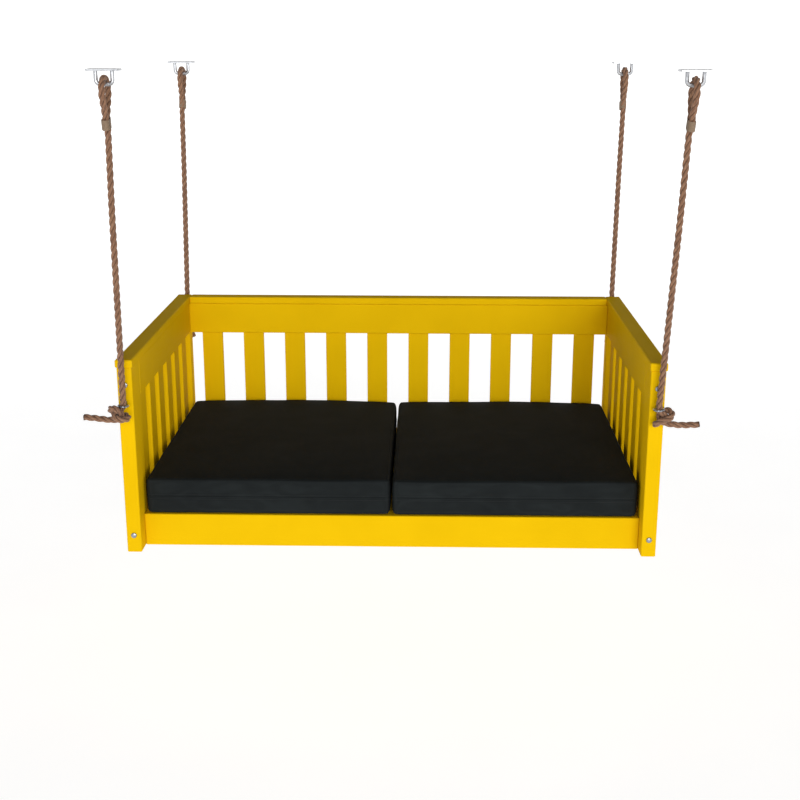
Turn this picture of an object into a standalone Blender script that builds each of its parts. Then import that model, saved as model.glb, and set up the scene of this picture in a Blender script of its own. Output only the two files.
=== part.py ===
"""Porch swing seat: a three-sided slatted daybed that hangs on four ropes from ceiling hangers.

Units are metres, +Z is up, +Y is the back of the seat and +X is its right end.
The origin is the middle of the four hanging points, level with the top faces of the hanger plates.
"""

import math

import bmesh
import bpy
from mathutils import Matrix, Vector

# ---------------------------------------------------------------- driving dimensions

GAP = 0.0003  # air between pieces that touch

# seat frame, measured from the foot of the legs and from the front faces of the front posts
OUTER_WIDTH = 1.400
OUTER_DEPTH = 0.847
FRAME_HEIGHT = 0.528
POST_WIDTH = 0.038
FRONT_POST_DEPTH = 0.089
REAR_POST_DEPTH = 0.038
RAIL_THICKNESS = 0.038
TOP_RAIL_HEIGHT = 0.094
BOTTOM_RAIL_HEIGHT = 0.089
CAP_WIDTH = 0.0445
CAP_THICKNESS = 0.021
SLAT_WIDTH = 0.0635
SLAT_THICKNESS = 0.019
BACK_SLATS = 10
BACK_SLAT_PITCH = 0.1318
ARM_SLATS = 6
ARM_SLAT_PITCH = 0.117
TENON = 0.010  # how far a slat's end goes into each rail
EDGE = 0.0018  # eased edge of the sawn boards

# deck that carries the cushions, flush with the rails
DECK_THICKNESS = 0.012
REBATE_DEPTH = 0.007
REBATE_CLEARANCE = 0.0006
DRAIN_SLOT = (0.022, 0.240)
DRAIN_SLOTS_PER_ROW = 8
DRAIN_SLOT_PITCH = 0.152
BATTEN = (0.070, 0.034)  # width and height of the bar under the deck's middle

# cushions
CUSHION_SIZE = (0.6560, 0.7530, 0.0975)  # narrow enough to lift out between the caps
CUSHION_ROUND = 0.018
CUSHION_REAR_AIR = 0.004

# fastenings
BOLT_DIAMETER = 0.008
BOLT_LENGTH = 0.132
BOLT_HEAD_DIAMETER = 0.0155
BOLT_HEAD_HEIGHT = 0.0042
BOLT_HOLE = 0.0092
LOWER_BOLT_HEIGHT = 0.0475
UPPER_BOLT_DROP = 0.067  # below the top of the caps
EYE_DROP = 0.114
EYE_STANDOFF = 0.028  # ring's middle in front of the post
EYE_INNER_RADIUS = 0.0092
EYE_WIRE = 0.006
EYE_SHANK = {"front": 0.060, "rear": 0.032}
EYE_SHANK_DIAMETER = 0.0078

# ropes and their hangers
ROPE = 0.016
BAR_HEIGHT = 0.797  # hanger bar's axis above the eye screws
BEND_HEIGHT = 0.130  # where each rope bends, above its eye screw and clear of the caps
HANGER_X = {"front_left": -0.678, "front_right": 0.720, "rear_left": -0.664, "rear_right": 0.689}
BAR = 0.010
BAR_SPAN = 0.040
BAR_DROP = 0.036  # bar's axis under the plate's top face
BAR_CORNER = 0.010
PLATE = (0.076, 0.046, 0.005)
PLATE_HOLE = 0.0062
PLATE_HOLE_SPACING = 0.056
LOOP_RADIUS = 0.032
THROAT_DROP = 0.078  # where the eye's two legs meet, under the bar's axis
THROAT_HALF = ROPE / 2 + 0.0003
SEIZING_LENGTH = 0.030
KNOT_SIZE = (0.064, 0.044, 0.034)
TAIL_LENGTH = 0.058

# ---------------------------------------------------------------- derived places

HALF_WIDTH = OUTER_WIDTH / 2
POST_X = HALF_WIDTH - POST_WIDTH / 2
INNER_HALF = HALF_WIDTH - POST_WIDTH
EYE_HEIGHT = FRAME_HEIGHT - EYE_DROP
FOOT_Z = -(EYE_HEIGHT + BAR_HEIGHT + BAR_DROP)
FRONT_Y = -OUTER_DEPTH / 2
REAR_Y = OUTER_DEPTH / 2
REAR_POST_FRONT = REAR_Y - REAR_POST_DEPTH
FRONT_POST_BACK = FRONT_Y + FRONT_POST_DEPTH
UNDER_CAP = FOOT_Z + FRAME_HEIGHT - CAP_THICKNESS - GAP
TOP_RAIL_BOTTOM = UNDER_CAP - TOP_RAIL_HEIGHT
BOTTOM_RAIL_TOP = FOOT_Z + BOTTOM_RAIL_HEIGHT
EYE_Z = FOOT_Z + EYE_HEIGHT
EYE_Y = {"front": FRONT_Y - EYE_STANDOFF, "rear": REAR_Y + EYE_STANDOFF}
BAR_Z = -BAR_DROP

# ---------------------------------------------------------------- scene and materials

for leftover in list(bpy.data.objects):
    bpy.data.objects.remove(leftover, do_unlink=True)


def make_material(name, colour, roughness, metallic=0.0):
    """One Principled material."""
    material = bpy.data.materials.new(name)
    material.use_nodes = True
    shader = material.node_tree.nodes["Principled BSDF"]
    shader.inputs["Base Color"].default_value = (*colour, 1.0)
    shader.inputs["Roughness"].default_value = roughness
    shader.inputs["Metallic"].default_value = metallic
    return material


YELLOW_PAINT = make_material("yellow_paint", (0.82, 0.52, 0.01), 0.45)
DECK_PAINT = make_material("deck_paint", (0.78, 0.49, 0.01), 0.55)
ZINC = make_material("zinc_steel", (0.62, 0.64, 0.68), 0.35, 1.0)
HANGER_STEEL = make_material("hanger_steel", (0.55, 0.56, 0.58), 0.40, 1.0)
ROPE_FIBRE = make_material("rope_fibre", (0.30, 0.16, 0.09), 0.85)
BLACK_CANVAS = make_material("black_canvas", (0.012, 0.012, 0.012), 0.90)

# ---------------------------------------------------------------- shape helpers


def new_object(name, mesh, material):
    """An object in the scene that carries the given mesh."""
    piece = bpy.data.objects.new(name, mesh)
    bpy.context.scene.collection.objects.link(piece)
    if material:
        mesh.materials.append(material)
    return piece


def from_bmesh(name, shape, material, centre=(0.0, 0.0, 0.0), smooth_angle=None):
    """Turn a bmesh into an object placed at centre."""
    mesh = bpy.data.meshes.new(name)
    shape.to_mesh(mesh)
    shape.free()
    if smooth_angle:
        mesh.shade_smooth()
        mesh.set_sharp_from_angle(angle=math.radians(smooth_angle))
    piece = new_object(name, mesh, material)
    piece.location = centre
    return piece


def make_box(name, size, centre, material=None):
    """A plain box."""
    shape = bmesh.new()
    bmesh.ops.create_cube(shape, size=1.0)
    bmesh.ops.scale(shape, vec=Vector(size), verts=shape.verts)
    return from_bmesh(name, shape, material, centre)


def make_rod(name, diameter, length, centre, axis, sides=16, material=None):
    """A round rod along axis X, Y or Z."""
    shape = bmesh.new()
    bmesh.ops.create_cone(
        shape, cap_ends=True, segments=sides, radius1=diameter / 2, radius2=diameter / 2, depth=length
    )
    turns = {"X": Matrix.Rotation(math.pi / 2, 3, "Y"), "Y": Matrix.Rotation(math.pi / 2, 3, "X")}
    if axis in turns:
        bmesh.ops.rotate(shape, matrix=turns[axis], verts=shape.verts)
    return from_bmesh(name, shape, material, centre, 40)


def make_board(name, low, high, material=None, edge=EDGE):
    """A sawn board between two corners, with its edges eased."""
    size = [high[i] - low[i] for i in range(3)]
    centre = [(high[i] + low[i]) / 2 for i in range(3)]
    board = make_box(name, size, centre, material or YELLOW_PAINT)
    ease = board.modifiers.new("eased_edges", "BEVEL")
    ease.width = edge
    ease.segments = 1
    ease.limit_method = "ANGLE"
    return board


def as_guide(piece):
    """Mark a cutter or joined-on shape, which is not a piece of its own."""
    piece.hide_render = True
    piece.display_type = "WIRE"
    return piece


def cut(piece, tool):
    """Take the tool's shape out of the piece."""
    step = piece.modifiers.new(tool.name, "BOOLEAN")
    step.operation = "DIFFERENCE"
    step.solver = "EXACT"
    step.object = as_guide(tool)


def join(piece, tool):
    """Add the tool's shape to the piece."""
    step = piece.modifiers.new(tool.name, "BOOLEAN")
    step.operation = "UNION"
    step.solver = "EXACT"
    step.object = as_guide(tool)


def make_tube(name, points, diameter, material, resolution=2):
    """A round tube along a line of points, closed at both ends."""
    line = bpy.data.curves.new(name, "CURVE")
    line.dimensions = "3D"
    line.bevel_depth = diameter / 2
    line.bevel_resolution = resolution
    line.render_resolution_u = 0
    line.use_fill_caps = True
    line.materials.append(material)
    spline = line.splines.new("POLY")
    spline.points.add(len(points) - 1)
    for knot, point in zip(spline.points, points):
        knot.co = (*point, 1.0)
    piece = bpy.data.objects.new(name, line)
    bpy.context.scene.collection.objects.link(piece)
    return piece


def make_bent_rod(name, points, diameter, sides):
    """A mesh rod along a line of points that stays in one plane facing along Y."""
    points = [Vector(point) for point in points]
    plane = Vector((0.0, 1.0, 0.0))
    shape = bmesh.new()
    rings = []
    for index, point in enumerate(points):
        before = points[max(index - 1, 0)]
        after = points[min(index + 1, len(points) - 1)]
        across = plane.cross(after - before).normalized()
        ring = []
        for step in range(sides):
            turn = 2 * math.pi * step / sides
            outward = across * math.cos(turn) + plane * math.sin(turn)
            ring.append(shape.verts.new(point + diameter / 2 * outward))
        rings.append(ring)
    for this, following in zip(rings, rings[1:]):
        for step in range(sides):
            other = (step + 1) % sides
            shape.faces.new((this[step], this[other], following[other], following[step]))
    shape.faces.new(rings[0])
    shape.faces.new(rings[-1])
    bmesh.ops.recalc_face_normals(shape, faces=shape.faces)
    return from_bmesh(name, shape, None, smooth_angle=40)


def smooth_line(route, steps):
    """Points along a Catmull-Rom curve through the route's own points."""
    route = [Vector(point) for point in route]
    padded = [2 * route[0] - route[1], *route, 2 * route[-1] - route[-2]]
    points = []
    for before, start, end, after in zip(padded, padded[1:], padded[2:], padded[3:]):
        for step in range(steps):
            t = step / steps
            points.append(
                0.5
                * (
                    2 * start
                    + (end - before) * t
                    + (2 * before - 5 * start + 4 * end - after) * t**2
                    + (3 * start - before - 3 * end + after) * t**3
                )
            )
    points.append(route[-1])
    return points


def side_sign(side):
    """-1 for the left end and +1 for the right end."""
    return -1.0 if side == "left" else 1.0


# ---------------------------------------------------------------- posts, rails and caps


def drill(piece, diameter, depth, mouth, inward):
    """Drill a round hole along Y from its mouth; inward is +1 towards the back."""
    start = mouth[1] - inward * 0.002
    centre = (mouth[0], start + inward * (depth + 0.002) / 2, mouth[2])
    cut(piece, make_rod(f"{piece.name}.hole", diameter, depth + 0.002, centre, "Y", 12))


def bolt_places(side):
    """The two frame bolts in the front face of one front post."""
    x = side_sign(side) * POST_X
    return {
        "upper": Vector((x, FRONT_Y, FOOT_Z + FRAME_HEIGHT - UPPER_BOLT_DROP)),
        "lower": Vector((x, FRONT_Y, FOOT_Z + LOWER_BOLT_HEIGHT)),
    }


def make_posts():
    """Four posts with the holes of the frame bolts and the eye screws."""
    for side in ("left", "right"):
        x = side_sign(side) * POST_X
        for end in ("front", "rear"):
            if end == "front":
                low_y, high_y = FRONT_Y, FRONT_POST_BACK
                face_y, inward = FRONT_Y, 1.0
            else:
                low_y, high_y = REAR_POST_FRONT, REAR_Y
                face_y, inward = REAR_Y, -1.0
            post = make_board(
                f"{end}_post_{side}",
                (x - POST_WIDTH / 2, low_y, FOOT_Z),
                (x + POST_WIDTH / 2, high_y, UNDER_CAP),
            )
            drill(post, EYE_SHANK_DIAMETER + 0.001, EYE_SHANK[end] + 0.001, (x, face_y, EYE_Z), inward)
            if end == "front":
                for place in bolt_places(side).values():
                    drill(post, BOLT_HOLE, FRONT_POST_DEPTH + 0.002, place, 1.0)


def make_arm_rails():
    """Top and bottom rails of the two arms, drilled at the front end for the frame bolts."""
    low_y = FRONT_POST_BACK + GAP
    high_y = REAR_POST_FRONT - GAP
    for side in ("left", "right"):
        x = side_sign(side) * POST_X
        heights = {
            "top": (TOP_RAIL_BOTTOM, UNDER_CAP),
            "bottom": (FOOT_Z, BOTTOM_RAIL_TOP),
        }
        for level, (low_z, high_z) in heights.items():
            rail = make_board(
                f"arm_{level}_rail_{side}",
                (x - RAIL_THICKNESS / 2, low_y, low_z),
                (x + RAIL_THICKNESS / 2, high_y, high_z),
            )
            bolt = bolt_places(side)["upper" if level == "top" else "lower"]
            drill(rail, BOLT_HOLE, BOLT_LENGTH - FRONT_POST_DEPTH + 0.001, (x, low_y, bolt.z), 1.0)
            cut_slat_mortises(rail, arm_slat_boxes(side), level)
            if level == "bottom":
                cut_deck_rebate(rail)


def make_long_rails():
    """Back top rail, back bottom rail and front rail."""
    reach = INNER_HALF - GAP
    rails = {
        "back_top_rail": (REAR_POST_FRONT, REAR_Y, TOP_RAIL_BOTTOM, UNDER_CAP),
        "back_bottom_rail": (REAR_POST_FRONT, REAR_Y, FOOT_Z, BOTTOM_RAIL_TOP),
        "front_rail": (FRONT_POST_BACK - RAIL_THICKNESS, FRONT_POST_BACK, FOOT_Z, BOTTOM_RAIL_TOP),
    }
    for name, (low_y, high_y, low_z, high_z) in rails.items():
        rail = make_board(name, (-reach, low_y, low_z), (reach, high_y, high_z))
        if name.startswith("back"):
            cut_slat_mortises(rail, back_slat_boxes(), "top" if "top" in name else "bottom")
        if name != "back_top_rail":
            cut_deck_rebate(rail)


def make_caps():
    """Side caps that run the whole depth, and a back cap between them."""
    overhang = (CAP_WIDTH - POST_WIDTH) / 2
    low_z = UNDER_CAP + GAP
    high_z = low_z + CAP_THICKNESS
    for side in ("left", "right"):
        x = side_sign(side) * POST_X
        make_board(
            f"arm_cap_{side}",
            (x - CAP_WIDTH / 2, FRONT_Y - overhang, low_z),
            (x + CAP_WIDTH / 2, REAR_Y + overhang, high_z),
            edge=0.0025,
        )
    reach = POST_X - CAP_WIDTH / 2 - GAP
    make_board(
        "back_cap",
        (-reach, REAR_Y + overhang - CAP_WIDTH, low_z),
        (reach, REAR_Y + overhang, high_z),
        edge=0.0025,
    )


# ---------------------------------------------------------------- slats


def back_slat_boxes():
    """Low and high corners, in X and Y, of each back slat."""
    middle_y = (REAR_POST_FRONT + REAR_Y) / 2
    boxes = []
    for index in range(BACK_SLATS):
        x = (index - (BACK_SLATS - 1) / 2) * BACK_SLAT_PITCH
        boxes.append(
            (
                (x - SLAT_WIDTH / 2, middle_y - SLAT_THICKNESS / 2),
                (x + SLAT_WIDTH / 2, middle_y + SLAT_THICKNESS / 2),
            )
        )
    return boxes


def arm_slat_boxes(side):
    """Low and high corners, in X and Y, of each slat of one arm."""
    x = side_sign(side) * POST_X
    middle_y = (FRONT_POST_BACK + REAR_POST_FRONT) / 2
    boxes = []
    for index in range(ARM_SLATS):
        y = middle_y + (index - (ARM_SLATS - 1) / 2) * ARM_SLAT_PITCH
        boxes.append(
            (
                (x - SLAT_THICKNESS / 2, y - SLAT_WIDTH / 2),
                (x + SLAT_THICKNESS / 2, y + SLAT_WIDTH / 2),
            )
        )
    return boxes


def cut_slat_mortises(rail, boxes, level):
    """Sink a pocket into the rail's edge for each slat's end."""
    if level == "top":
        middle_z = TOP_RAIL_BOTTOM
    else:
        middle_z = BOTTOM_RAIL_TOP
    for low, high in boxes:
        size = (high[0] - low[0] + 2 * GAP, high[1] - low[1] + 2 * GAP, 2 * (TENON + GAP))
        centre = ((low[0] + high[0]) / 2, (low[1] + high[1]) / 2, middle_z)
        cut(rail, make_box(f"{rail.name}.mortise", size, centre))


def make_slats():
    """Back slats and arm slats, each a board whose ends sit in the rails."""
    low_z = BOTTOM_RAIL_TOP - TENON
    high_z = TOP_RAIL_BOTTOM + TENON
    for number, (low, high) in enumerate(back_slat_boxes(), start=1):
        make_board(f"back_slat_{number:02d}", (*low, low_z), (*high, high_z), edge=0.0015)
    for side in ("left", "right"):
        for number, (low, high) in enumerate(arm_slat_boxes(side), start=1):
            make_board(f"arm_slat_{side}_{number}", (*low, low_z), (*high, high_z), edge=0.0015)


# ---------------------------------------------------------------- deck


def cut_deck_rebate(rail):
    """Step along the inner top edge of a bottom rail that the deck's edge lies in."""
    size = (
        2 * (INNER_HALF + REBATE_DEPTH),
        REAR_POST_FRONT - FRONT_POST_BACK + 2 * REBATE_DEPTH,
        2 * (DECK_THICKNESS + REBATE_CLEARANCE),
    )
    centre = (0.0, (FRONT_POST_BACK + REAR_POST_FRONT) / 2, BOTTOM_RAIL_TOP)
    cut(rail, make_box(f"{rail.name}.rebate", size, centre))


def make_deck():
    """Slotted deck panel in the rails' rebates, and the batten under its middle."""
    reach_x = INNER_HALF - GAP
    edge_y = REBATE_DEPTH - 0.001
    low_z = BOTTOM_RAIL_TOP - DECK_THICKNESS
    high_z = BOTTOM_RAIL_TOP
    deck = make_board(
        "deck_panel",
        (-reach_x, FRONT_POST_BACK - edge_y, low_z),
        (reach_x, REAR_POST_FRONT + edge_y, high_z),
        DECK_PAINT,
        edge=0.001,
    )
    middle_y = (FRONT_POST_BACK + REAR_POST_FRONT) / 2
    for row in (-1, 1):
        for index in range(DRAIN_SLOTS_PER_ROW):
            x = (index - (DRAIN_SLOTS_PER_ROW - 1) / 2) * DRAIN_SLOT_PITCH
            centre = (x, middle_y + row * 0.165, (low_z + high_z) / 2)
            size = (*DRAIN_SLOT, DECK_THICKNESS * 2)
            cut(deck, make_box("deck_panel.drain", size, centre))
    make_board(
        "deck_batten",
        (-BATTEN[0] / 2, FRONT_POST_BACK + GAP, low_z - GAP - BATTEN[1]),
        (BATTEN[0] / 2, REAR_POST_FRONT - GAP, low_z - GAP),
        DECK_PAINT,
    )


# ---------------------------------------------------------------- bolts and eye screws


def make_frame_bolts():
    """Domed bolts through the front posts into the ends of the arm rails."""
    for side in ("left", "right"):
        for level, place in bolt_places(side).items():
            shape = bmesh.new()
            radius = BOLT_DIAMETER / 2
            head = BOLT_HEAD_DIAMETER / 2
            # half outline from the dome's crown to the shank's tip, turned about the bolt's axis
            outline = [(0.0, -BOLT_HEAD_HEIGHT - GAP)]
            for step in range(1, 4):
                angle = step * math.pi / 6
                rise = -GAP - BOLT_HEAD_HEIGHT * (0.25 + 0.75 * math.cos(angle))
                outline.append((head * math.sin(angle), rise))
            outline += [(head, -GAP), (radius, -GAP), (radius, BOLT_LENGTH), (0.0, BOLT_LENGTH)]
            verts = [shape.verts.new((r, y, 0.0)) for r, y in outline]
            edges = [shape.edges.new(pair) for pair in zip(verts, verts[1:])]
            bmesh.ops.spin(
                shape,
                geom=verts + edges,
                cent=(0, 0, 0),
                axis=(0, 1, 0),
                angle=2 * math.pi,
                steps=12,
                use_merge=True,
            )
            bmesh.ops.remove_doubles(shape, verts=shape.verts, dist=0.00001)
            bmesh.ops.recalc_face_normals(shape, faces=shape.faces)
            from_bmesh(f"frame_bolt_{level}_{side}", shape, ZINC, place, 40)


def make_eye_screws():
    """Screwed-in eyes whose rings lie flat; each rope passes down through one."""
    for end in ("front", "rear"):
        outward = -1.0 if end == "front" else 1.0
        face_y = FRONT_Y if end == "front" else REAR_Y
        for side in ("left", "right"):
            centre = Vector((side_sign(side) * POST_X, EYE_Y[end], EYE_Z))
            ring_radius = EYE_INNER_RADIUS + EYE_WIRE / 2
            shape = bmesh.new()
            ring_steps = 20
            wire_steps = 8
            loops = []
            for i in range(ring_steps):
                turn = 2 * math.pi * i / ring_steps
                loop = []
                for j in range(wire_steps):
                    around = 2 * math.pi * j / wire_steps
                    reach = ring_radius + EYE_WIRE / 2 * math.cos(around)
                    height = EYE_WIRE / 2 * math.sin(around)
                    loop.append(shape.verts.new((reach * math.cos(turn), reach * math.sin(turn), height)))
                loops.append(loop)
            for i in range(ring_steps):
                this, following = loops[i], loops[(i + 1) % ring_steps]
                for j in range(wire_steps):
                    k = (j + 1) % wire_steps
                    shape.faces.new((this[j], following[j], following[k], this[k]))
            bmesh.ops.recalc_face_normals(shape, faces=shape.faces)
            eye = from_bmesh(f"eye_screw_{end}_{side}", shape, ZINC, centre, 50)
            neck_y = EYE_Y[end] - outward * ring_radius
            tip_y = face_y - outward * EYE_SHANK[end]
            length = abs(tip_y - neck_y)
            middle = (centre.x, (tip_y + neck_y) / 2, EYE_Z)
            shank = make_rod(f"{eye.name}.shank", EYE_SHANK_DIAMETER, length, middle, "Y", 12)
            join(eye, shank)


# ---------------------------------------------------------------- hangers and ropes


def make_hangers():
    """Ceiling plates, each with a welded U bar that a rope's eye hangs over."""
    for corner, x in HANGER_X.items():
        end = corner.split("_")[0]
        y = EYE_Y[end]
        plate = make_board(
            f"ceiling_hanger_{corner}",
            (x - PLATE[0] / 2, y - PLATE[1] / 2, -PLATE[2]),
            (x + PLATE[0] / 2, y + PLATE[1] / 2, 0.0),
            HANGER_STEEL,
            edge=0.0008,
        )
        half = BAR_SPAN / 2
        points = [(x - half, y, -PLATE[2] / 2)]
        for sign, start in ((-1, math.pi), (1, 1.5 * math.pi)):
            corner_x = x + sign * (half - BAR_CORNER)
            for step in range(5):
                angle = start + step * math.pi / 8
                points.append(
                    (
                        corner_x + BAR_CORNER * math.cos(angle),
                        y,
                        BAR_Z + BAR_CORNER + BAR_CORNER * math.sin(angle),
                    )
                )
        points.append((x + half, y, -PLATE[2] / 2))
        join(plate, make_bent_rod(f"{plate.name}.bar", points, BAR, 12))
        for sign in (-1, 1):
            hole_x = x + sign * PLATE_HOLE_SPACING / 2
            hole = make_rod(f"{plate.name}.hole", PLATE_HOLE, 0.02, (hole_x, y, 0.0), "Z", 12)
            cut(plate, hole)


def rope_axis(corner):
    """The ring a rope passes through, and the rope's lean per metre of height."""
    end, side = corner.split("_")
    bar = Vector((HANGER_X[corner], EYE_Y[end], BAR_Z))
    ring = Vector((side_sign(side) * POST_X, EYE_Y[end], EYE_Z))
    return ring, (bar - ring) / (bar.z - ring.z)


def rope_line(corner):
    """Centreline of one rope from its seized end, round the eye and down to where it bends."""
    end = corner.split("_")[0]
    ring, lean = rope_axis(corner)
    # the short leg lies on the side away from the seat
    away = -1.0 if end == "front" else 1.0
    loop_top = BAR_Z + BAR / 2 + 0.0006 + ROPE / 2
    loop_middle = loop_top - LOOP_RADIUS
    throat = BAR_Z - THROAT_DROP

    def place(sideways, height):
        """A point on the leaning plane of the rope, in metres from the rope's own line."""
        on_line = ring + lean * (height - ring.z)
        return Vector((on_line.x, on_line.y + away * sideways, height))

    seized_end = throat - SEIZING_LENGTH
    points = [place(THROAT_HALF, seized_end), place(THROAT_HALF, seized_end + SEIZING_LENGTH / 2)]
    legs = 4
    for step in range(legs):
        t = step / legs
        ease = t * t * (3 - 2 * t)
        sideways = THROAT_HALF + (LOOP_RADIUS - THROAT_HALF) * ease
        points.append(place(sideways, throat + (loop_middle - throat) * t))
    arc_steps = 8
    for step in range(arc_steps + 1):
        angle = math.pi * step / arc_steps
        points.append(
            place(LOOP_RADIUS * math.cos(angle), loop_middle + LOOP_RADIUS * math.sin(angle))
        )
    for step in range(1, legs + 1):
        t = 1 - step / legs
        ease = t * t * (3 - 2 * t)
        sideways = THROAT_HALF + (LOOP_RADIUS - THROAT_HALF) * ease
        points.append(place(-sideways, throat + (loop_middle - throat) * t))
    bottom = ring.z + BEND_HEIGHT + ROPE / 2 + 0.0006
    run = 15
    for step in range(1, run + 1):
        t = step / run
        height = throat + (bottom - throat) * t
        settle = max(0.0, 1 - t * 2.2)
        points.append(place(-THROAT_HALF * settle**2 * (3 - 2 * settle), height))
    return points


def make_ropes():
    """The four ropes, from the eye on the hanger bar down to the level of the caps."""
    for corner in HANGER_X:
        make_tube(f"rope_{corner}", rope_line(corner), ROPE, ROPE_FIBRE)


def make_rope_foot(name, length, direction, bend):
    """The rope's last straight stretch, with a ball at the bend that the rope above turns on."""
    outline = [(0.0, -length), (ROPE / 2, -length)]
    for step in range(5):
        angle = step * math.pi / 8
        outline.append((ROPE / 2 * math.cos(angle), ROPE / 2 * math.sin(angle)))
    shape = bmesh.new()
    verts = [shape.verts.new((radius, 0.0, height)) for radius, height in outline]
    edges = [shape.edges.new(pair) for pair in zip(verts, verts[1:])]
    bmesh.ops.spin(
        shape,
        geom=verts + edges,
        cent=(0, 0, 0),
        axis=(0, 0, 1),
        angle=2 * math.pi,
        steps=12,
        use_merge=True,
    )
    bmesh.ops.remove_doubles(shape, verts=shape.verts, dist=0.00001)
    bmesh.ops.recalc_face_normals(shape, faces=shape.faces)
    lean = Vector((0.0, 0.0, 1.0)).rotation_difference(direction).to_matrix()
    bmesh.ops.rotate(shape, matrix=lean, verts=shape.verts)
    return from_bmesh(name, shape, None, bend)


def make_rope_ends():
    """Each rope's lower end: through its ring, into a stopper knot, and out as a free tail."""
    for corner in HANGER_X:
        ring, lean = rope_axis(corner)
        outward = side_sign(corner.split("_")[1])
        middle = ring + Vector((outward * 0.014, 0.0, -EYE_WIRE / 2 - 0.001 - KNOT_SIZE[2] / 2))
        shape = bmesh.new()
        bmesh.ops.create_uvsphere(shape, u_segments=16, v_segments=8, radius=0.5)
        bmesh.ops.scale(shape, vec=Vector(KNOT_SIZE), verts=shape.verts)
        knot = from_bmesh(f"rope_end_{corner}", shape, ROPE_FIBRE, middle, 60)
        bend = ring + lean * BEND_HEIGHT
        length = (bend.z - middle.z) * lean.length
        join(knot, make_rope_foot(f"{knot.name}.foot", length, lean.normalized(), bend))
        start = middle.x + outward * KNOT_SIZE[0] * 0.2
        reach = outward * (KNOT_SIZE[0] * 0.3 + TAIL_LENGTH)
        route = [
            (start, ring.y, middle.z),
            (start + reach * 0.35, ring.y, middle.z + 0.001),
            (start + reach * 0.7, ring.y, middle.z - 0.004),
            (start + reach, ring.y, middle.z - 0.010),
        ]
        join(knot, make_bent_rod(f"{knot.name}.tail", smooth_line(route, 2), ROPE, 12))


# ---------------------------------------------------------------- cushions


def make_cushions():
    """Two box cushions side by side on the deck, out to the face of the front rail."""
    low_z = BOTTOM_RAIL_TOP + GAP
    rear_y = REAR_POST_FRONT - CUSHION_REAR_AIR
    for side in ("left", "right"):
        sign = side_sign(side)
        inner_x = 0.0015
        centre = (
            sign * (inner_x + CUSHION_SIZE[0] / 2),
            rear_y - CUSHION_SIZE[1] / 2,
            low_z + CUSHION_SIZE[2] / 2,
        )
        cushion = make_box(f"cushion_{side}", CUSHION_SIZE, centre, BLACK_CANVAS)
        rounding = cushion.modifiers.new("rounding", "BEVEL")
        rounding.width = CUSHION_ROUND
        rounding.segments = 2


make_posts()
make_arm_rails()
make_long_rails()
make_caps()
make_slats()
make_deck()
make_frame_bolts()
make_eye_screws()
make_hangers()
make_ropes()
make_rope_ends()
make_cushions()
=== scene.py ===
"""Looks of the porch swing seat: laid rope, seat cushions, paint, steel, light and camera."""

import math

import bpy
import numpy as np
from mathutils import Matrix, Vector, noise
from mathutils.bvhtree import BVHTree


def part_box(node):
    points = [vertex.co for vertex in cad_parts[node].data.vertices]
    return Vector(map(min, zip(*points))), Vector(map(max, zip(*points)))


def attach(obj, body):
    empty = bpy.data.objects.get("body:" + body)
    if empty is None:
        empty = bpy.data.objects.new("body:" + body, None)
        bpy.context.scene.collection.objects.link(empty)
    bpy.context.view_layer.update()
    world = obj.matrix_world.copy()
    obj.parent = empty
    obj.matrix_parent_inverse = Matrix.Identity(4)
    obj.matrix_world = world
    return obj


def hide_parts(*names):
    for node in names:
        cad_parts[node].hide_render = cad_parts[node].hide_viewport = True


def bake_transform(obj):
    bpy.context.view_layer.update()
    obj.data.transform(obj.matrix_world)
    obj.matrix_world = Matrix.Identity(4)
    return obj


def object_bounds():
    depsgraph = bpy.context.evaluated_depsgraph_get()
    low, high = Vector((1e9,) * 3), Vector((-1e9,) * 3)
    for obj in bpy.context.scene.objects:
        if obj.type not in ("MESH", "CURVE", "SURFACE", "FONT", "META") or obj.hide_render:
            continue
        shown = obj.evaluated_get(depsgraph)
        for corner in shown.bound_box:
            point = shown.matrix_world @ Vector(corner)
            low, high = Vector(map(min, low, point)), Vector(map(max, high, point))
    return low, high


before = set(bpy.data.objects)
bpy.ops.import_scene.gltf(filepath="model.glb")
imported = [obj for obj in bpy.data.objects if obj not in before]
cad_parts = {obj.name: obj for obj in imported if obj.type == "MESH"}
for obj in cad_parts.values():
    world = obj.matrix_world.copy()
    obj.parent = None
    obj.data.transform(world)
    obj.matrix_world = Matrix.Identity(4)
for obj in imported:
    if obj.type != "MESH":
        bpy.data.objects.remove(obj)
cad_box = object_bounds()

# ---------------------------------------------------------------- sizes, in metres

# Camera, in the row frame.
CAMERA_PLACE = (0.0918, -3.5206, 0.0744)
CAMERA_YAW = math.radians(-1.235)
CAMERA_PITCH = math.radians(16.11)
CAMERA_ROLL = math.radians(0.06)
CAMERA_LENS = 56.69
SENSOR_WIDTH = 36.0

# Ropes: the route repeats part.py's, with its eye raised by what the strands' crowns stand out.
ROPE = 0.016
BEND_HEIGHT = 0.130
BAR = 0.010
LOOP_RADIUS = 0.032
THROAT_DROP = 0.078
THROAT_HALF = ROPE / 2 + 0.0003
SHORT_END = 0.030  # how far the short leg reaches below the throat
SEIZING_LENGTH = 0.030
SLACK = 0.0006
BAR_Z = -0.036
RING_X = 0.681
RING_Y = 0.4515
RING_Z = -0.833
HANGER_X = {
    "front_left": -0.678,
    "front_right": 0.720,
    "rear_left": -0.664,
    "rear_right": 0.689,
}
ROUTE_STEP = 0.003
JOIN_DROP = 0.001  # below the ring's middle: here the knot's line takes over from the route
SLICE_DROP = 0.002  # and here the knot's own piece starts

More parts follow.
